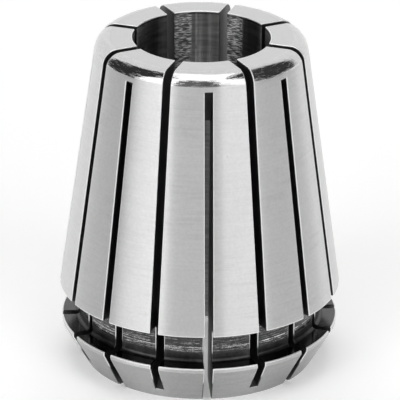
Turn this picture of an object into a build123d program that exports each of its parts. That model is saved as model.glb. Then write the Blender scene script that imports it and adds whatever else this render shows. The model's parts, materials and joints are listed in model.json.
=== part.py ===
from build123d import *

import os
from math import radians, sqrt, tan

# A 33 x 40 mm double-taper spring collet for a 16 mm shank.
# It stands on its nose face with the axis along +Z: the short steep nose cone is at the bottom, the
# extraction groove above it, and the long gripping taper narrows to the back face at the top.
# Eight saw slots open at the nose and eight, half a pitch round, open at the back, so the one piece
# folds in and out like a concertina all round when the two tapers are squeezed.

# Overall sizes
length = 40.0
long_taper_diameter = 33.0  # at its large end, over the groove
long_taper_half_angle = 8.0
back_edge_radius = 1.8

# Nose
nose_height = 5.2  # from the nose face to the groove
nose_rim_diameter = 32.5
nose_rim_land = 0.5  # straight band over the nose cone
nose_half_angle = 30.0

# Extraction groove
groove_width = 4.1
groove_floor_diameter = 28.4
groove_corner_radius = 0.4

# Bore
bore_diameter = 16.0
bore_nose_chamfer = 0.5
bore_back_chamfer = 0.1

# Small flats left by stoning the ground edges
rim_chamfer = 0.15
nose_edge_chamfer = 0.25

# Saw slots
slots_per_end = 8
slot_width = 0.95
back_web = 1.95  # metal over a nose slot, along the long taper's skin
nose_web = 1.25  # metal under a back slot, along the nose cone's skin
saw_diameter = 63.0
saw_tip_radius = 2.5  # how near the axis the saw's rim comes
saw_overrun = 2.0  # how far a pass starts outside the end face

# Sizes that follow from those
groove_top = nose_height + groove_width
land_foot = nose_height - nose_rim_land
nose_rim_radius = nose_rim_diameter / 2
groove_floor_radius = groove_floor_diameter / 2
bore_radius = bore_diameter / 2
saw_radius = saw_diameter / 2
saw_centre_radius = saw_tip_radius + saw_radius
half_pitch = 180.0 / slots_per_end


def long_taper_radius(height):
    """Skin of the long taper before its back edge is rounded."""
    return long_taper_diameter / 2 - (height - groove_top) * tan(radians(long_taper_half_angle))


def nose_cone_radius(height):
    """Skin of the nose cone, below its straight land."""
    return nose_rim_radius - (land_foot - height) * tan(radians(nose_half_angle))


def corner(section, radius, height):
    """The corner of the half section nearest to a place."""
    return section.vertices().sort_by_distance((radius, 0, height))[0]


def turned_blank():
    """The ground body of revolution, bored right through and not yet slotted."""
    nose_mouth = (bore_radius, 0)
    nose_edge = (nose_cone_radius(0), 0)
    land_top = (nose_rim_radius, nose_height)
    floor_foot = (groove_floor_radius, nose_height)
    floor_top = (groove_floor_radius, groove_top)
    taper_edge = (long_taper_radius(groove_top), groove_top)
    back_edge = (long_taper_radius(length), length)
    back_mouth = (bore_radius, length)

    with BuildSketch(Plane.XZ) as half_section:
        with BuildLine():
            Polyline(
                nose_mouth,
                nose_edge,
                (nose_rim_radius, land_foot),
                land_top,
                floor_foot,
                floor_top,
                taper_edge,
                back_edge,
                back_mouth,
                close=True,
            )
        make_face()
    section = half_section.sketch

    rounded = [
        (floor_foot, groove_corner_radius),
        (floor_top, groove_corner_radius),
        (back_edge, back_edge_radius),
    ]
    broken = [
        (land_top, rim_chamfer),
        (taper_edge, rim_chamfer),
        (nose_edge, nose_edge_chamfer),
        (nose_mouth, bore_nose_chamfer),
        (back_mouth, bore_back_chamfer),
    ]
    for place, radius in rounded:
        section = fillet(corner(section, *place), radius)
    for place, leg in broken:
        section = chamfer(corner(section, *place), leg)
    return revolve(section, Axis.Z)


def saw_pass(skin_radius, end_height, heading):
    """What one pass of the slitting saw removes, in the plane of +X.

    The saw feeds along the axis, up for heading 1 and down for heading -1. At the end of its
    travel its round rim leaves the skin at end_height, and the slot is shorter at the bore.
    """
    rim_rise = sqrt(saw_radius**2 - (saw_centre_radius - skin_radius) ** 2)
    centre_height = end_height - heading * rim_rise
    start_height = -saw_overrun if heading > 0 else length + saw_overrun
    tip_at_end = (saw_tip_radius, centre_height)
    tip_at_start = (saw_tip_radius, start_height)
    arbor_at_start = (saw_centre_radius, start_height)
    arbor_side_end = (saw_centre_radius, centre_height + heading * saw_radius)

    with BuildSketch(Plane.XZ) as swept_disc:
        with BuildLine():
            Polyline(tip_at_end, tip_at_start, arbor_at_start, arbor_side_end)
            CenterArc((saw_centre_radius, centre_height), saw_radius, 180, -90 * heading)
        make_face()
    return extrude(swept_disc.sketch, slot_width / 2, both=True)


def slotted_collet():
    """The blank with both sets of slots, the back set turned half a pitch from the nose set."""
    nose_slot_end = length - back_web
    nose_slot = saw_pass(long_taper_radius(nose_slot_end), nose_slot_end, 1)
    back_slot = saw_pass(nose_cone_radius(nose_web), nose_web, -1)
    blank = turned_blank()
    slitted = blank - PolarLocations(0, slots_per_end) * nose_slot
    return slitted - PolarLocations(0, slots_per_end, half_pitch) * back_slot


collet = slotted_collet()
os.makedirs("parts", exist_ok=True)
export_step(collet, "parts/collet.step")
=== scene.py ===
import json
import math

import bpy
import numpy as np
from mathutils import Matrix, Vector
from mathutils.geometry import delaunay_2d_cdt


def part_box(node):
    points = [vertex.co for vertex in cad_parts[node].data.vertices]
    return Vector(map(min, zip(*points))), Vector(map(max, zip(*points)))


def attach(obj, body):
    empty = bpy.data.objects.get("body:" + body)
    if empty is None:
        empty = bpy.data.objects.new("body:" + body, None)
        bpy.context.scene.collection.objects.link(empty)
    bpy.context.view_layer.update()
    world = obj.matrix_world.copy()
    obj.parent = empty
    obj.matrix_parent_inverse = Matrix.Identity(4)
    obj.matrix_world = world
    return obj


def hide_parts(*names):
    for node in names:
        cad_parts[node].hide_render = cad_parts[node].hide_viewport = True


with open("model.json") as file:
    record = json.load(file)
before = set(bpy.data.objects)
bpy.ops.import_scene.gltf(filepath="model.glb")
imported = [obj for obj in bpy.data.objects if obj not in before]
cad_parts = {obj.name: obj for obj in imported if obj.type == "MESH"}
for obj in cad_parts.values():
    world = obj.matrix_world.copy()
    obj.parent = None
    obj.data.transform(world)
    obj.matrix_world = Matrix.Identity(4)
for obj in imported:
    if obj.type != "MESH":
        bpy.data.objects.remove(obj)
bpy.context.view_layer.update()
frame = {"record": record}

mm = 0.001
white = (1.0, 1.0, 1.0, 1.0)
tiny = 1e-9                     # a distance that counts as none, in millimetres
fullTurn = 2 * math.pi
degree = math.degrees(1)        # turns radians into degrees
mounts = {mount["name"]: mount for mount in frame["record"]["mounts"]}
boreRadius = mounts["shank_bore"]["dims"]["r_mm"]
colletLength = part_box("collet")[1].z / mm
print("frame loaded, collet", round(colletLength, 3), "mm long, bore radius", boreRadius, "mm")


# The collet's skin is worked out in millimetres
collet = {
    "taperRadius": 16.5,        # large end of the long taper, over the groove
    "taperAngle": 8.0,          # degrees from the axis
    "noseRadius": 16.25,
    "noseAngle": 30.0,
    "noseHeight": 5.2,
    "noseLand": 0.5,            # straight band over the nose cone
    "grooveRadius": 14.2,
    "grooveWidth": 4.1,
    "mouthNose": 0.5,           # chamfer round the bore's nose end
    "backRound": 1.8,           # polished round between the long taper and the back face
    "groundOver": 0.2,          # how far the taper's grinding runs on over that round
    "rimRound": 0.15,           # the groove's two outer edges
    "landRound": 0.2,
    "noseEdgeRound": 0.3,
    "grooveRound": 0.4,         # the two corners of the groove's floor
    "mouthRound": 0.12,         # edges of the bore's two mouths
    "pairs": 8,                 # saw slots let in from each end
    "slotWidth": 0.95,
    "slotEdge": 0.10,           # round left where a slot breaks the skin, smaller than the others
    "noseSlotEnd": 38.05,       # heights at which the slots run out of the skin
    "backSlotEnd": 1.25,
    "sawRadius": 31.5,
    "sawTip": 2.5,              # how near the axis the saw's rim comes
    "edgeRows": 3,              # cells across a slot's rounded edge
    "skinColumns": 8,           # between one slot and the next
    "straightStep": 1.6,        # mm of a straight stretch that one row takes
    "turnStep": 7.0,            # degrees of a round that one row takes
    "sawRows": 18,              # cells along the arc that the saw leaves
    "fillTolerance": 1e-6,      # for the flat walls' triangles
}
zoneNames = ["taper", "cone", "land", "edge", "face", "groove", "flank", "bore", "slot", "round"]
brokenZones = ("taper", "cone", "land", "face", "groove", "round")      # a slot's edge on these gets the edge steel, painted light: a painted highlight


# The half section as straight pieces joined by rounds, anticlockwise from the bore's nose end. A
# corner is its radius, its height, its round, the round's zone and the zone of the straight piece
# after it. A round reaches round * tan(turn / 2) along both of its neighbours.
def sectionPieces(c):
    slope = math.tan(math.radians(c["taperAngle"]))
    grooveTop = c["noseHeight"] + c["grooveWidth"]
    landFoot = c["noseHeight"] - c["noseLand"]
    noseFace = c["noseRadius"] - landFoot * math.tan(math.radians(c["noseAngle"]))
    backCorner = c["taperRadius"] - (colletLength - grooveTop) * slope
    corners = [
        (boreRadius, c["mouthNose"], c["mouthRound"], "edge", "edge"),
        (boreRadius + c["mouthNose"], 0, c["mouthRound"], "edge", "face"),
        (noseFace, 0, c["noseEdgeRound"], "edge", "cone"),
        (c["noseRadius"], landFoot, c["landRound"], "land", "land"),
        (c["noseRadius"], c["noseHeight"], c["rimRound"], "edge", "flank"),
        (c["grooveRadius"], c["noseHeight"], c["grooveRound"], "groove", "groove"),
        (c["grooveRadius"], grooveTop, c["grooveRound"], "groove", "flank"),
        (c["taperRadius"], grooveTop, c["rimRound"], "edge", "taper"),
        (backCorner, colletLength, c["backRound"], "round", "face"),
        (boreRadius, colletLength, c["mouthRound"], "edge", "bore"),
    ]
    points = np.array([corner[:2] for corner in corners])
    rounds = np.array([corner[2] for corner in corners])
    away = np.roll(points, -1, 0) - points
    away /= np.linalg.norm(away, axis=1)[:, None]
    heading = np.arctan2(away[:, 1], away[:, 0])
    turn = (heading - np.roll(heading, 1) + math.pi) % fullTurn - math.pi
    reach = rounds * np.tan(np.abs(turn) / 2)
    arcStart = points - reach[:, None] * np.roll(away, 1, 0)
    arcEnd = points + reach[:, None] * away
    run = np.linalg.norm(np.roll(arcStart, -1, 0) - arcEnd, axis=1)
    length = np.stack([rounds * np.abs(turn), run], -1).ravel()
    return {
        "start": np.stack([arcStart, arcEnd], 1).reshape(-1, 2),
        "heading": np.stack([heading - turn, heading], -1).ravel(),
        "turn": np.stack([turn, np.zeros_like(turn)], -1).ravel(),
        "length": length,
        "zone": np.array([zone for corner in corners for zone in corner[3:]]),
        "from": np.concatenate([[0.0], np.cumsum(length)[:-1]]),
    }


# Places and outward normals at distances s round the section. On an arc the heading turns evenly,
# and the place is start + radius * (normal at start - normal here), signed by the way it turns.
def sectionAt(pieces, s):
    which = np.searchsorted(pieces["from"], s, side="right") - 1
    along = s - pieces["from"][which]
    start, heading = pieces["start"][which], pieces["heading"][which]
    turn, length = pieces["turn"][which], pieces["length"][which]
    here = heading + turn * along / length
    bent = turn != 0
    radius = length / np.where(bent, turn, 1.0)
    line = np.stack([np.cos(heading), np.sin(heading)], -1) * along[:, None]
    swing = np.stack([np.sin(here) - np.sin(heading), np.cos(heading) - np.cos(here)], -1)
    place = start + np.where(bent[:, None], swing * radius[:, None], line)
    normal = np.stack([np.sin(here), -np.cos(here)], -1)
    return place, normal, pieces["zone"][which]


def straightPiece(pieces, zone):
    return int(np.flatnonzero((pieces["turn"] == 0) & (pieces["zone"] == zone))[0])


# How far along the axis the saw's rim is from the saw's centre: sqrt(saw^2 - (centre - radius)^2)
def sawRim(c, radius):
    centre = c["sawTip"] + c["sawRadius"]
    return math.sqrt(c["sawRadius"] ** 2 - (centre - radius) ** 2)


# Distances round the section at which each kind of slot runs out: on the skin at the height that
# its setting names, and in the bore where the same pass of the saw ends.
def slotEnds(c, pieces):
    start, bore = pieces["start"], straightPiece(pieces, "bore")
    ends = {}
    for name, zone, height, way in (
        ("nose", "taper", c["noseSlotEnd"], 1),
        ("back", "cone", c["backSlotEnd"], -1),
    ):
        skin = straightPiece(pieces, zone)
        heading = pieces["heading"][skin]
        run = (height - start[skin, 1]) / math.sin(heading)
        skinRadius = start[skin, 0] + run * math.cos(heading)
        boreHeight = height - way * (sawRim(c, skinRadius) - sawRim(c, boreRadius))
        ends[name] = {
            "skin": pieces["from"][skin] + run,
            "bore": pieces["from"][bore] + start[bore, 1] - boreHeight,
        }
    return ends


# Steps across a slot's rounded edge: edge * (1 - cos t), with t from nothing to a quarter turn
def edgeSteps(c):
    return c["slotEdge"] * (1 - np.cos(np.linspace(0, math.pi / 2, c["edgeRows"] + 1)))


# Distances round the section that get a row of vertices: the ends of every piece, even steps
# between them, and close rows where each slot runs out.
def sectionRows(c, pieces, ends):
    rows = []
    for start, length, turn in zip(pieces["from"], pieces["length"], pieces["turn"]):
        steps = abs(math.degrees(turn)) / c["turnStep"] if turn else length / c["straightStep"]
        count = max(1, math.ceil(steps))
        rows.append(start + length * np.arange(count) / count)
    even = np.concatenate(rows)
    lean = edgeSteps(c)
    close = np.concatenate([
        ends["nose"]["skin"] + lean, ends["nose"]["bore"] - lean,
        ends["back"]["skin"] - lean, ends["back"]["bore"] + lean,
    ])
    clear = np.abs(even[:, None] - close).min(1) > 2 * c["slotEdge"]
    kept = np.isin(even, pieces["from"]) | clear
    return np.unique(np.concatenate([even[kept], close]))


# Columns round the axis, slot by slot. Beside a slot each has its distance y from the slot's middle
# plane, and on the way to the next slot each has its share of the angle that is left.
def skinColumns(c):
    lean = c["slotWidth"] / 2 + edgeSteps(c)
    beside = np.concatenate([-lean[::-1], [0.0], lean])
    between = np.arange(1, c["skinColumns"] + 1) / (c["skinColumns"] + 1)
    slots = 2 * c["pairs"]
    y = np.tile(np.concatenate([beside, np.zeros(between.size)]), slots)
    share = np.tile(np.concatenate([np.full(beside.size, -1.0), between]), slots)
    slot = np.repeat(np.arange(slots), beside.size + between.size)
    return y, share, slot


# The whole skin is one grid: rows s round the section, columns round the axis, joined up both ways.
# A column beside a slot has azimuth = slot + asin(y / r). Near an open slot the skin sinks by
# edge * (1 - sin t), with cos t = 1 - distance / edge, which is a quarter round.
def skinGrid(c, pieces, ends):
    s = sectionRows(c, pieces, ends)
    place, normal, zone = sectionAt(pieces, s)
    y, share, slot = skinColumns(c)
    free = share >= 0

    # How far each row is past the end of its slots, less than nothing where they are open, and
    # which way round the section that is
    nose, back = ends["nose"], ends["back"]
    pastNose = np.minimum(s - nose["skin"], nose["bore"] - s)
    pastBack = np.maximum(back["skin"] - s, s - back["bore"])
    noseWay = np.where(s - nose["skin"] < nose["bore"] - s, 1.0, -1.0)
    backWay = np.where(back["skin"] - s > s - back["bore"], -1.0, 1.0)
    past = np.where(slot % 2 == 0, pastNose[:, None], pastBack[:, None])
    way = np.where(slot % 2 == 0, noseWay[:, None], backWay[:, None])

    half, edge = c["slotWidth"] / 2, c["slotEdge"]
    outside = np.abs(y) - half
    sideways = np.where(outside >= -tiny, np.maximum(outside, tiny), 0)
    sideways = np.broadcast_to(sideways, past.shape)
    onward = np.where(past >= -tiny, np.maximum(past, tiny), 0)
    distance = np.hypot(sideways, onward)
    cosine = np.where(free, 0.0, np.clip(1 - distance / edge, 0, 1))
    sine = np.sqrt(1 - cosine ** 2)
    sunk = edge * (1 - sine)

    radius = place[:, :1] - sunk * normal[:, :1]
    height = place[:, 1:] - sunk * normal[:, 1:]
    pitch = fullTurn / (2 * c["pairs"])
    lastSide = np.arcsin((half + edge) / radius)
    between = lastSide + share * (pitch - 2 * lastSide)
    azimuth = slot * pitch + np.where(free, between, np.arcsin(y / radius))
    spread = np.stack([np.cos(azimuth), np.sin(azimuth), np.zeros_like(azimuth)], -1)
    points = radius[..., None] * spread
    points[..., 2] = height

    # A normal leans from straight out towards the gap by the same quarter turn
    outward = normal[:, None, :1] * spread
    outward[..., 2] = normal[:, 1:]
    forward = -normal[:, None, 1:] * spread
    forward[..., 2] = normal[:, :1]
    across = np.stack([-np.sin(slot * pitch), np.cos(slot * pitch), np.zeros(slot.size)], -1)
    towards = -(sideways * np.sign(y))[..., None] * across - (onward * way)[..., None] * forward
    towards /= np.maximum(np.linalg.norm(towards, axis=-1), tiny)[..., None]
    normals = sine[..., None] * outward + cosine[..., None] * towards
    normals /= np.maximum(np.linalg.norm(normals, axis=-1), tiny)[..., None]
    return {
        "s": s, "zone": zone, "points": points, "normals": normals, "y": y, "past": past,
        "free": free, "radius": radius, "height": height, "half": half,
    }


# The skin's four-cornered cells, apart from those over an open slot, and the zone of each
def skinCells(c, grid, index):
    nextRow, nextColumn = np.roll(index, -1, 0), np.roll(index, -1, 1)
    nextBoth = np.roll(nextRow, -1, 1)
    besideSlot = ~grid["free"] & ~np.roll(grid["free"], -1)
    within = np.abs(grid["y"]) <= grid["half"] + tiny
    inSlot = besideSlot & within & np.roll(within, -1)
    opened = (grid["past"] <= tiny) & (np.roll(grid["past"], -1, 0) <= tiny)
    shown = ~(inSlot & opened)
    cells = np.stack([index, nextColumn, nextBoth, nextRow], -1)[shown]

    onRound = grid["zone"] == "round"
    groundEnd = grid["s"][onRound].min() + c["groundOver"]
    rowZone = np.where(onRound & (grid["s"] < groundEnd), "taper", grid["zone"])
    zone = np.broadcast_to(rowZone[:, None], index.shape).copy()
    zone[besideSlot & ~inSlot & opened & np.isin(zone, brokenZones)] = "edge"
    return cells, zone[shown]


# The arc that the saw leaves inside the metal, of its own radius through two places of the section,
# and the directions from the arc back to its centre.
def sawArc(c, first, last):
    middle, chord = (first + last) / 2, last - first
    reach = np.linalg.norm(chord)
    square = np.array([-chord[1], chord[0]]) / reach
    side = square * math.sqrt(c["sawRadius"] ** 2 - reach ** 2 / 4)
    centre = middle + side if (middle + side)[0] > middle[0] else middle - side
    fromCentre = np.stack([first, last]) - centre
    angles = np.unwrap(np.arctan2(fromCentre[:, 1], fromCentre[:, 0]))
    angle = np.linspace(*angles, c["sawRows"] + 1)[1:-1]
    spokes = np.stack([np.cos(angle), np.sin(angle)], -1)
    return centre + c["sawRadius"] * spokes, -spokes


# Turned round the axis: ahead * (cos, sin, 0) + beside * (-sin, cos, 0) + above * (0, 0, 1)
def turned(azimuth, ahead, beside, above):
    cosine, sine = np.cos(azimuth), np.sin(azimuth)
    x = cosine * ahead - sine * beside
    y = sine * ahead + cosine * beside
    return np.stack(np.broadcast_arrays(x, y, above), -1)


# Triangles that fill a slot's outline in the section, all turned the same way
def fillOutline(c, outline):
    corners = [Vector(place) for place in outline]
    ring, inside = list(range(len(corners))), 1
    filled = delaunay_2d_cdt(corners, [], [ring], inside, c["fillTolerance"])
    source = np.array([ids[0] for ids in filled[3]])
    wall = source[np.array(filled[2])]
    first = outline[wall[:, 1]] - outline[wall[:, 0]]
    second = outline[wall[:, 2]] - outline[wall[:, 0]]
    flipped = first[:, 0] * second[:, 1] - first[:, 1] * second[:, 0] < 0
    wall[flipped] = wall[flipped][:, ::-1]
    return wall


# One end's set of slots: the floor where they run out, which is the saw's arc carried across the
# slot at y = -half, 0 and half, and their flat walls. Both start and stop on the skin's own
# vertices, and the vertices that they add are numbered from made.
def slotSet(c, grid, index, ends, name, made):
    nose = name == "nose"
    way = 1 if nose else -1
    slots = 2 * c["pairs"]
    own = np.arange(0 if nose else 1, slots, 2)
    azimuth = own * fullTurn / slots
    sector = index.shape[1] // slots
    left, middle, right = c["edgeRows"] + np.arange(3)
    lip = own[0] * sector + right
    section = np.stack([grid["radius"][:, lip], grid["height"][:, lip]], -1)
    skinRow = int(np.argmin(np.abs(grid["s"] - ends[name]["skin"])))
    boreRow = int(np.argmin(np.abs(grid["s"] - ends[name]["bore"])))

    arc, spokes = sawArc(c, section[skinRow], section[boreRow])
    across = np.array([-grid["half"], 0.0, grid["half"]])
    along = np.sqrt(arc[:, :1] ** 2 - across ** 2)
    floor = turned(azimuth[:, None, None], along, across, arc[:, 1:])
    floorIndex = made + np.arange(floor.size // 3).reshape(floor.shape[:3])
    columns = own[:, None] * sector + np.array([left, middle, right])
    onSkin, inBore = index[skinRow][columns][:, None], index[boreRow][columns][:, None]
    strip = np.concatenate([onSkin, floorIndex, inBore], 1)
    low, high = strip[:, :-1], strip[:, 1:]
    cells = np.stack([low[..., :-1], high[..., :-1], high[..., 1:], low[..., 1:]], -1)
    spokes = np.concatenate([spokes[:1], spokes, spokes[-1:]])
    facing = turned(azimuth[:, None], spokes[:, 0], 0.0, spokes[:, 1])
    low, high = facing[:, :-1], facing[:, 1:]
    cellNormals = np.stack([low, high, high, low], 2)[:, :, None, ::way].repeat(2, 2)

    order = np.flatnonzero(grid["past"][:, own[0] * sector] <= tiny)
    if nose:
        order = np.concatenate([order[order >= boreRow], order[order <= skinRow]])
    outline = np.concatenate([section[order], arc[::way]])
    depth = np.sqrt(outline[:, 0] ** 2 - grid["half"] ** 2)
    wall = fillOutline(c, np.stack([depth, outline[:, 1]], -1))
    triangles, wallNormals = [], []
    for column, floorColumn, side in ((right, 2, 1), (left, 0, -1)):
        onLip = index[order][:, own * sector + column].T
        ring = np.concatenate([onLip, floorIndex[:, ::way, floorColumn]], 1)
        triangles.append(ring[:, wall][..., ::side].reshape(-1, 3))
        facing = turned(azimuth, 0.0, -side, 0.0)
        wallNormals.append(facing.repeat(3 * len(wall), 0))
    return {
        "points": floor.reshape(-1, 3),
        "cells": cells[..., ::way].reshape(-1, 4),
        "cellNormals": cellNormals.reshape(-1, 3),
        "triangles": np.concatenate(triangles),
        "wallNormals": np.concatenate(wallNormals),
    }


def buildCollet(c):
    pieces = sectionPieces(c)
    ends = slotEnds(c, pieces)
    grid = skinGrid(c, pieces, ends)
    index = np.arange(grid["radius"].size).reshape(grid["radius"].shape)
    cells, cellZones = skinCells(c, grid, index)
    skin, skinNormals = grid["points"].reshape(-1, 3), grid["normals"].reshape(-1, 3)
    nose = slotSet(c, grid, index, ends, "nose", len(skin))
    back = slotSet(c, grid, index, ends, "back", len(skin) + len(nose["points"]))

    quads = np.concatenate([cells, nose["cells"], back["cells"]])
    triangles = np.concatenate([nose["triangles"], back["triangles"]])
    zones = np.full(len(quads) + len(triangles), "slot", dtype=cellZones.dtype)
    zones[:len(cells)] = cellZones
    normals = np.concatenate([
        skinNormals[cells.ravel()], nose["cellNormals"], back["cellNormals"],
        nose["wallNormals"], back["wallNormals"],
    ])
    points = np.concatenate([skin, nose["points"], back["points"]])
    corners = np.concatenate([quads.ravel(), triangles.ravel()])
    used, loops = np.unique(corners, return_inverse=True)
    return points[used], loops, len(quads), len(triangles), normals, zones


def colletMesh(c):
    points, loops, quadCount, triangleCount, normals, zones = buildCollet(c)
    faceCount = quadCount + triangleCount
    starts = np.concatenate([
        np.arange(quadCount) * 4,
        quadCount * 4 + np.arange(triangleCount) * 3,
    ])
    finishIndex = np.array([zoneNames.index(zone) for zone in zones])
    mesh = bpy.data.meshes.new("colletBody")
    mesh.vertices.add(len(points))
    mesh.vertices.foreach_set("co", (points * mm).ravel())
    mesh.loops.add(len(loops))
    mesh.loops.foreach_set("vertex_index", loops.astype(np.int32))
    mesh.polygons.add(faceCount)
    mesh.polygons.foreach_set("loop_start", starts.astype(np.int32))
    mesh.polygons.foreach_set("material_index", finishIndex.astype(np.int32))
    mesh.update(calc_edges=True)
    mesh.polygons.foreach_set("use_smooth", np.ones(faceCount, dtype=bool))
    mesh.normals_split_custom_set(normals)
    print("collet skin:", len(points), "points,", quadCount, "quads,", triangleCount, "triangles")
    return mesh


# Shader maths as plain expressions: a wire is one output of a node, and arithmetic on it adds nodes
class Wire:
    def __init__(self, kit, node, output):
        self.kit = kit
        self.node = node
        self.output = output

    def math(self, operation, *values):
        return self.kit.add("Math", {"operation": operation}, dict(enumerate(values)))

    def __add__(self, other):
        return self.math("ADD", self, other)

    def __radd__(self, other):
        return self.math("ADD", other, self)

    def __sub__(self, other):
        return self.math("SUBTRACT", self, other)

    def __rsub__(self, other):
        return self.math("SUBTRACT", other, self)

    def __mul__(self, other):
        return self.math("MULTIPLY", self, other)

    def __rmul__(self, other):
        return self.math("MULTIPLY", other, self)

    def hypot(self, other):
        return self.math("SQRT", self * self + other * other)

    def swing(self, share):         # of a noise about its middle, times what it changes
        return (self - 0.5) * share

    def rise(self, low, high, start=0.0, end=1.0):
        sockets = {"Value": self, "From Min": low, "From Max": high, "To Min": start, "To Max": end}
        return self.kit.add("MapRange", {"interpolation_type": "SMOOTHSTEP"}, sockets)

    def window(self, low, high, soft):
        return self.rise(low - soft, low + soft) * self.rise(high - soft, high + soft, 1.0, 0.0)


class NodeKit:
    def __init__(self, tree):
        self.tree = tree
        tree.nodes.clear()

    def add(self, kind, settings, sockets, output=0):
        node = self.tree.nodes.new("ShaderNode" + kind)
        for name, value in settings.items():
            setattr(node, name, value)
        for name, value in sockets.items():
            if isinstance(value, Wire):
                self.tree.links.new(value.node.outputs[value.output], node.inputs[name])
            else:
                node.inputs[name].default_value = value
        return Wire(self, node, output)

    def split(self, vector):
        return [self.add("SeparateXYZ", {}, {"Vector": vector}, axis) for axis in range(3)]

    def join(self, x, y, z):
        return self.add("CombineXYZ", {}, {"X": x, "Y": y, "Z": z})

    def noise(self, place, detail, roughness):
        sockets = {"Vector": place, "Scale": 1.0, "Detail": detail, "Roughness": roughness}
        return self.add("TexNoise", {}, sockets)


# A steel finish on the collet's own coordinates, x, y and z in millimetres and r from the axis
class Finish(NodeKit):
    ringRough = 0.55                # how much a noise's finer waves count
    speckRough = 0.6

    def __init__(self, name):
        self.material = bpy.data.materials.new(name)
        self.material.use_nodes = True
        super().__init__(self.material.node_tree)
        metres = self.split(self.add("TexCoord", {}, {}, "Object"))
        self.x, self.y, self.z = [axis * (1 / mm) for axis in metres]
        self.r = self.x.hypot(self.y)

    # Marks that run round the axis: noise squeezed along the section, at z + slope * r, and drawn
    # out round it
    def rings(self, pitch, reach, detail, slope=-1.0):
        place = self.join(
            self.x * (1 / reach), self.y * (1 / reach),
            (self.z + self.r * slope) * (1 / pitch),
        )
        return self.noise(place, detail, self.ringRough)

    def speckle(self, size, detail, stretch=1.0):
        place = self.join(
            self.x * (1 / size), self.y * (1 / size),
            self.z * (1 / (size * stretch)),
        )
        return self.noise(place, detail, self.speckRough)

    def steel(self, shade, roughness, bump, height, **shader):
        grey = self.add("CombineColor", {}, {"Red": shade, "Green": shade, "Blue": shade})
        relief = {"Strength": 1.0, "Distance": height * mm, "Height": bump}
        normal = self.add("Bump", {}, relief)
        sockets = {"Base Color": grey, "Roughness": roughness, "Metallic": 1.0, "Normal": normal}
        sockets.update(shader)
        surface = self.add("BsdfPrincipled", {}, sockets)
        self.add("OutputMaterial", {}, {"Surface": surface})
        return self.material


# In the settings of the finishes, marks that run round are (mm from one to the next, mm that one
# runs, detail), specks are (mm across, detail, height over width), and a band is the two values of
# a noise between which it fades in. A share is how far a noise takes the steel's shade from light
# to dark, and a bump is its height in mm.
drawn = {"Anisotropic": 1.0, "Anisotropic Rotation": 0.25}      # gloss spread along the axis

groundFinish = {
    "taperTone": 0.68,
    # the land's and, much more, the cone's tones are darker than the taper's: painted shade that
    # stands in for the table's shade round the foot, which they reflect
    "landTone": 0.60,
    "coneTone": 0.46,
    "roughness": 0.33,
    "roughShare": 0.05,
    "lines": (0.12, 9.0, 3.0),      # of the grinding
    "lineShare": 0.10,
    "drift": (1.6, 14.0, 2.0),
    "driftShare": 0.06,
    "waves": (0.55, 3.5, 3.0),      # faint dark ripples, here and there
    "waveBand": (0.46, 0.62),
    "wavePatches": (6.0, 1.0),
    "patchBand": (0.48, 0.62),
    "waveShare": 0.035,
    "grain": (0.34, 4.0),
    "grainShare": 0.15,
    "pits": (0.30, 2.0, 1.6),
    "pitBand": (0.74, 0.80),
    "pitShare": 0.22,
    "bump": 0.0012,
}


def groundSteel(name, tone, slope, g=groundFinish):
    finish = Finish(name)
    lines = finish.rings(*g["lines"], slope)
    drift = finish.rings(*g["drift"], slope)
    waves = finish.rings(*g["waves"], slope).rise(*g["waveBand"])
    waves = waves * finish.speckle(*g["wavePatches"]).rise(*g["patchBand"])
    grain = finish.speckle(*g["grain"])
    pits = finish.speckle(*g["pits"]).rise(*g["pitBand"])
    shade = g[tone] + lines.swing(g["lineShare"]) + drift.swing(g["driftShare"])
    shade = shade + grain.swing(g["grainShare"]) - waves * g["waveShare"] - pits * g["pitShare"]
    roughness = g["roughness"] + drift.swing(g["roughShare"])
    return finish.steel(shade, roughness, lines, g["bump"], **drawn)


faceFinish = {
    "tone": 0.60,
    "roughness": 0.24,
    "roughShare": 0.06,
    "lines": (0.16, 7.0, 3.0),
    "lineShare": 0.08,
    "cloud": (1.4, 3.0),
    "cloudShare": 0.05,
    "bump": 0.001,
}


def faceSteel(g=faceFinish):
    finish = Finish("groundFace")
    lines = finish.rings(*g["lines"])
    cloud = finish.speckle(*g["cloud"])
    shade = g["tone"] + lines.swing(g["lineShare"]) + cloud.swing(g["cloudShare"])
    return finish.steel(shade, g["roughness"] + cloud.swing(g["roughShare"]), lines, g["bump"])


roundFinish = {
    "tone": 0.62,
    "roughness": 0.05,
    "rub": (0.6, 3.0, 0.5),
    "rubShare": 0.16,
    "rubBump": 0.5,                 # against the lines' 1
    "lines": (0.3, 2.4, 3.0),
    "lineShare": 0.1,
    "scratches": (0.2, 1.2, 3.0),   # short and dull, in the polish
    "scratchBand": (0.46, 0.66),
    "scratchRough": 0.24,
    "bump": 0.02,
}


def roundSteel(g=roundFinish):
    finish = Finish("polishedRound")
    rub = finish.speckle(*g["rub"])
    lines = finish.rings(*g["lines"])
    scratches = finish.rings(*g["scratches"]).rise(*g["scratchBand"])
    shade = g["tone"] + rub.swing(g["rubShare"]) + lines.swing(g["lineShare"])
    roughness = g["roughness"] + scratches * g["scratchRough"]
    return finish.steel(shade, roughness, rub * g["rubBump"] + lines, g["bump"])


edgeFinish = {
    # the edge steel is painted lighter than the other steel: the small rounds do catch light, and
    # the lighter tone is a painted highlight as well
    "tone": 0.92,
    "roughness": 0.5,
    "rub": (0.5, 3.0),
    "rubShare": 0.1,
    "grooveRadii": (13.6, 15.2, 0.2),   # edges low in the groove are painted dark: painted shade
    "grooveLow": (6.0, 6.6),
    "grooveDark": 0.9,
    "bump": 0.002,
}


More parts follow.
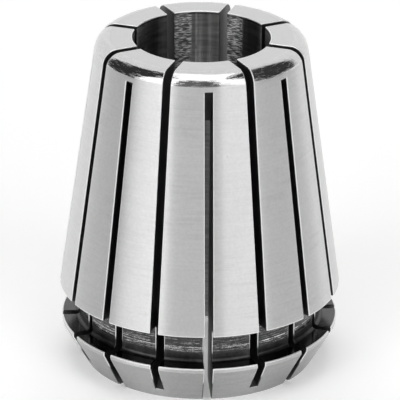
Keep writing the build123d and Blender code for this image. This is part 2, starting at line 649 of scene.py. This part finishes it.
def edgeSteel(g=edgeFinish):
    finish = Finish("brokenEdge")
    rub = finish.speckle(*g["rub"])
    # painted shade on the edges low in the groove
    grooveShadeMask = finish.r.window(*g["grooveRadii"]) * finish.z.rise(*g["grooveLow"], 1.0, 0.0)
    shade = (g["tone"] + rub.swing(g["rubShare"])) * (1 - grooveShadeMask * g["grooveDark"])
    return finish.steel(shade, g["roughness"] + rub.swing(g["rubShare"]), rub, g["bump"])


grooveFinish = {
    "tone": 0.018,                  # upper floor, between the painted highlights on the turning's ridges
    "everywhere": 0.04,
    "roughness": 0.18,
    "roughShare": 0.06,
    "dull": (1.2, 4.0),
    "dullShare": 0.03,
    "lines": (0.11, 7.0, 2.0),
    "lineBand": (0.46, 0.60),
    "breaks": (0.14, 0.6, 3.0),     # where a ridge stops and starts again
    "breakBand": (0.38, 0.58),
    "flecks": (0.13, 2.0),
    "fleckBand": (0.38, 0.62, 0.25, 1.0),
    "ridgeShare": 0.26,
    "middle": (6.45, 7.5, 0.15),    # heights between which the ridges' painted highlights are brighter, a painted reflection
    "middleShare": 0.26,
    "toolEnd": (6.95, 7.03, 0.04),  # heights of the line that the turning tool left, painted bright: a real mark with a painted highlight
    "toolBreaks": (2.0, 1.5, 2.0),
    "toolBand": (0.36, 0.5),
    "toolShare": 0.14,
    "toolFlecks": 0.44,
    "upper": (6.15, 6.55),          # heights at which the dark, smooth lower floor gives way to the floor that gets the painted ridge highlights
    "lowerTone": 0.02,
    "lowerShare": 0.12,
    "lowerRough": 0.20,
    "bump": 0.006,
}


def grooveSteel(g=grooveFinish):
    finish = Finish("turnedGroove")
    lines = finish.rings(*g["lines"])
    dull = finish.speckle(*g["dull"])
    broken = finish.rings(*g["breaks"]).rise(*g["breakBand"])
    flecks = finish.speckle(*g["flecks"]).rise(*g["fleckBand"])
    # painted highlights on the turning's ridges, brighter in a middle band of heights and none on
    # the lower floor
    ridgeGlints = lines.rise(*g["lineBand"]) * broken * flecks
    # painted highlight along the tool's line
    toolEnd = finish.z.window(*g["toolEnd"])
    toolEnd = toolEnd * finish.rings(*g["toolBreaks"]).rise(*g["toolBand"])
    upper = finish.z.rise(*g["upper"])
    middle = finish.z.window(*g["middle"])
    tone = g["tone"] + dull.swing(g["dullShare"])
    tone = tone + ridgeGlints * (g["ridgeShare"] + middle * g["middleShare"])
    tone = tone + toolEnd * (g["toolShare"] + flecks * g["toolFlecks"])
    lower = 1 - upper
    shade = g["everywhere"] + tone * upper
    shade = shade + lower * (g["lowerTone"] + dull.swing(g["lowerShare"]))
    roughness = g["roughness"] + dull.swing(g["roughShare"]) + lower * g["lowerRough"]
    return finish.steel(shade, roughness, lines, g["bump"])


flankFinish = {
    "tone": 0.08,
    "roughness": 0.16,
    "roughShare": 0.06,
    "dull": (0.8, 4.0),
    "dullShare": 0.05,
    "bump": 0.002,
}


def flankSteel(g=flankFinish):
    finish = Finish("turnedFlank")
    dull = finish.speckle(*g["dull"])
    shade = g["tone"] + dull.swing(g["dullShare"])
    return finish.steel(shade, g["roughness"] + dull.swing(g["roughShare"]), dull, g["bump"])


boreFinish = {
    "tone": 0.33,
    "roughness": 0.30,
    "roughShare": 0.06,
    "streaks": (0.5, 3.0, 40.0),
    "streakShare": 0.25,
    "lines": (0.34, 3.0, 4.0),
    "lineShare": 0.45,
    "scales": (0.12, 0.7, 2.0),     # scaly chatter beside the back slots, painted bright: real chatter with painted highlights
    "scaleBand": (0.44, 0.66),
    "scaleTone": 0.16,
    "scaleShare": 0.74,
    "scaleReach": (0.03, 0.40, 0.02),       # in shares of the way from one back slot to the next
    "scaleSide": (4.6, 5.9, 0.15, 1.0),     # strong on the bore's +Y side and faint elsewhere
    "witness": (0.474, 0.514, 0.010),       # a thin light line down the bore, in the same shares
    "witnessSide": (6.2, 7.6),
    "witnessBreaks": (0.4, 3.0, 3.0),
    "witnessBand": (0.3, 0.6),
    "witnessShare": 0.4,
    "mouth": (39.5, 39.75),         # heights at which the bore is painted darker to its back mouth: a painted dark reflection
    "mouthDark": 0.6,
    "bump": 0.02,
}


def boreSteel(g=boreFinish):
    finish = Finish("honedBore")
    angle = finish.y.math("ARCTAN2", finish.y, finish.x) * (collet["pairs"] / fullTurn)
    phase = angle.math("FRACT", 0.5 - angle)
    marked = phase.window(*g["scaleReach"]) * finish.y.rise(*g["scaleSide"])
    scales = finish.rings(*g["scales"]).rise(*g["scaleBand"])
    streaks = finish.speckle(*g["streaks"])
    plain = g["tone"] + streaks.swing(g["streakShare"])
    # the chatter's scales are painted bright, nearly to white steel: painted highlights
    chatterGlints = g["scaleTone"] + scales * g["scaleShare"]
    witness = phase.window(*g["witness"]) * finish.y.rise(*g["witnessSide"])
    witness = witness * finish.speckle(*g["witnessBreaks"]).rise(*g["witnessBand"])
    lines = finish.rings(*g["lines"])
    # painted dark reflection just under the back mouth
    mouth = finish.z.rise(*g["mouth"])
    tone = plain + lines.swing(g["lineShare"]) + (chatterGlints - plain) * marked
    tone = tone + witness * g["witnessShare"]
    shade = tone * (1 - mouth * g["mouthDark"])
    roughness = g["roughness"] + streaks.swing(g["roughShare"])
    return finish.steel(shade, roughness, scales * marked, g["bump"], **drawn)


wallFinish = {
    "tone": 0.11,
    "roughness": 0.42,
    "roughShare": 0.1,
    "marks": (0.18, 3.0, 14.0),
    "markShare": 0.08,
    "bump": 0.006,
}


def wallSteel(g=wallFinish):
    finish = Finish("sawnWall")
    marks = finish.speckle(*g["marks"])
    shade = g["tone"] + marks.swing(g["markShare"])
    return finish.steel(shade, g["roughness"] + marks.swing(g["roughShare"]), marks, g["bump"])


body = bpy.data.objects.new("colletBody", colletMesh(collet))
bpy.context.scene.collection.objects.link(body)
surfaces = {
    "taper": groundSteel("groundTaper", "taperTone", -1.0),
    "cone": groundSteel("groundCone", "coneTone", 1.0),
    "land": groundSteel("groundLand", "landTone", -1.0),
    "edge": edgeSteel(),
    "face": faceSteel(),
    "groove": grooveSteel(),
    "flank": flankSteel(),
    "bore": boreSteel(),
    "slot": wallSteel(),
    "round": roundSteel(),
}
for name in zoneNames:
    body.data.materials.append(surfaces[name])
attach(body, "root")
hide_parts("collet")
print("finishes:", len(surfaces))


# The table and the light all round it. In a panel, azimuth goes to the right from the camera's side
# and height goes up from the table. Across and ahead are a flat map of the sky, in degrees from
# straight up, to the right and to the camera, and slant is across less ahead.
studio = {
    "heading": -4.11,           # degrees from -Y to the camera, round the axis
    "tableSize": 4.0,           # metres
    "tableShade": 0.86,
    "tableGlow": 0.27,          # the white table is lit a little from below
    "allRound": 1.0,
    "soft": 3.0,                # degrees over which a panel fades, on each side of its edge
    "panels": [
        {"light": 1.25, "azimuth": (-72, -28), "height": (-10, 70)},
        {"light": 2.3, "azimuth": (-70, -28), "height": (10, 70)},
        {"light": 1.05, "azimuth": (19, 57), "height": (-10, 70)},
        {"light": 1.7, "azimuth": (19, 57), "height": (-10, 70), "ahead": (-10, 62)},
        {"light": 0.42, "azimuth": (-28, 19), "height": (-10, 54)},
        {"light": 0.18, "azimuth": (-27, 19), "height": (11, 53)},
        {"light": 0.12, "azimuth": (3, 19), "height": (11, 38)},
        {"light": 2.0, "across": (-21, 25), "ahead": (-18, 36)},
        {"light": 0.85, "azimuth": (57, 110), "height": (-10, 20)},
        {"light": 0.14, "azimuth": (57, 78), "height": (7, 46)},
        {"light": 0.04, "across": (-93, -17), "ahead": (-36, 26), "slant": (-120, -4),
         "height": (-1, 80)},
        {"light": 0.05, "across": (18, 86), "ahead": (-36, 25), "height": (4, 80)},
    ],
}


def buildTable(s):
    half = s["tableSize"] / 2
    corners = [(-half, -half, 0), (half, -half, 0), (half, half, 0), (-half, half, 0)]
    mesh = bpy.data.meshes.new("table")
    mesh.from_pydata(corners, [], [(0, 1, 2, 3)])
    table = bpy.data.objects.new("table", mesh)
    bpy.context.scene.collection.objects.link(table)
    card = bpy.data.materials.new("tableCard")
    card.use_nodes = True
    kit = NodeKit(card.node_tree)
    shade = (s["tableShade"],) * 3 + (1.0,)
    surface = kit.add("BsdfPrincipled", {}, {
        "Base Color": shade, "Roughness": 1.0, "Specular IOR Level": 0.0,
        "Emission Color": white, "Emission Strength": s["tableGlow"],
    })
    kit.add("OutputMaterial", {}, {"Surface": surface})
    mesh.materials.append(card)


# Each panel takes the place of the light behind it: light + (panel - light) * mask
def lightAllRound(s):
    world = bpy.data.worlds.new("studio")
    bpy.context.scene.world = world
    world.use_nodes = True
    kit = NodeKit(world.node_tree)
    away = kit.add("TexCoord", {}, {}, "Generated")
    swung = {"Vector": away, "Angle": math.radians(-s["heading"])}
    x, y, z = kit.split(kit.add("VectorRotate", {"rotation_type": "Z_AXIS"}, swung))
    azimuth = x.math("ARCTAN2", x, y * -1.0)
    fromTop = 90.0 - z.math("ARCSINE", z) * degree
    axes = {
        "azimuth": azimuth * degree,
        "height": 90.0 - fromTop,
        "across": fromTop * azimuth.math("SINE", azimuth),
        "ahead": fromTop * azimuth.math("COSINE", azimuth),
    }
    axes["slant"] = axes["across"] - axes["ahead"]
    light = s["allRound"]
    for panel in s["panels"]:
        mask = 1.0
        for axis, place in axes.items():
            if axis in panel:
                mask = place.window(*panel[axis], s["soft"]) * mask
        light = light + (panel["light"] - light) * mask
    glow = kit.add("Background", {}, {"Color": white, "Strength": light})
    kit.add("OutputWorld", {}, {"Surface": glow})


buildTable(studio)
lightAllRound(studio)

view = {
    "distance": 487.2,          # mm from the target
    "elevation": 23.7855,
    "roll": 0.4895,
    "target": (-0.01, 0.0, 19.356),
    "focal": 4154.72,           # in pixels of the frame
    "frame": 400,
    "sensor": 36.0,             # mm across
}


def placeCamera(v, heading):
    tilt, roll = math.radians(v["elevation"]), math.radians(v["roll"])
    right, up = Vector((1, 0, 0)), Vector((0, math.sin(tilt), math.cos(tilt)))
    forward = Vector((0, math.cos(tilt), -math.sin(tilt)))
    rightRolled = right * math.cos(roll) + up * math.sin(roll)
    upRolled = up * math.cos(roll) - right * math.sin(roll)
    place = Matrix((rightRolled, upRolled, -forward)).transposed().to_4x4()
    place.translation = (Vector(v["target"]) - forward * v["distance"]) * mm
    data = bpy.data.cameras.new("camera")
    data.sensor_width = v["sensor"]
    data.lens = v["focal"] * v["sensor"] / v["frame"]
    camera = bpy.data.objects.new("camera", data)
    camera.matrix_world = Matrix.Rotation(math.radians(heading), 4, "Z") @ place
    bpy.context.scene.collection.objects.link(camera)
    bpy.context.scene.camera = camera


placeCamera(view, studio["heading"])
bpy.context.scene.view_settings.view_transform = "Standard"
print("studio and camera placed")
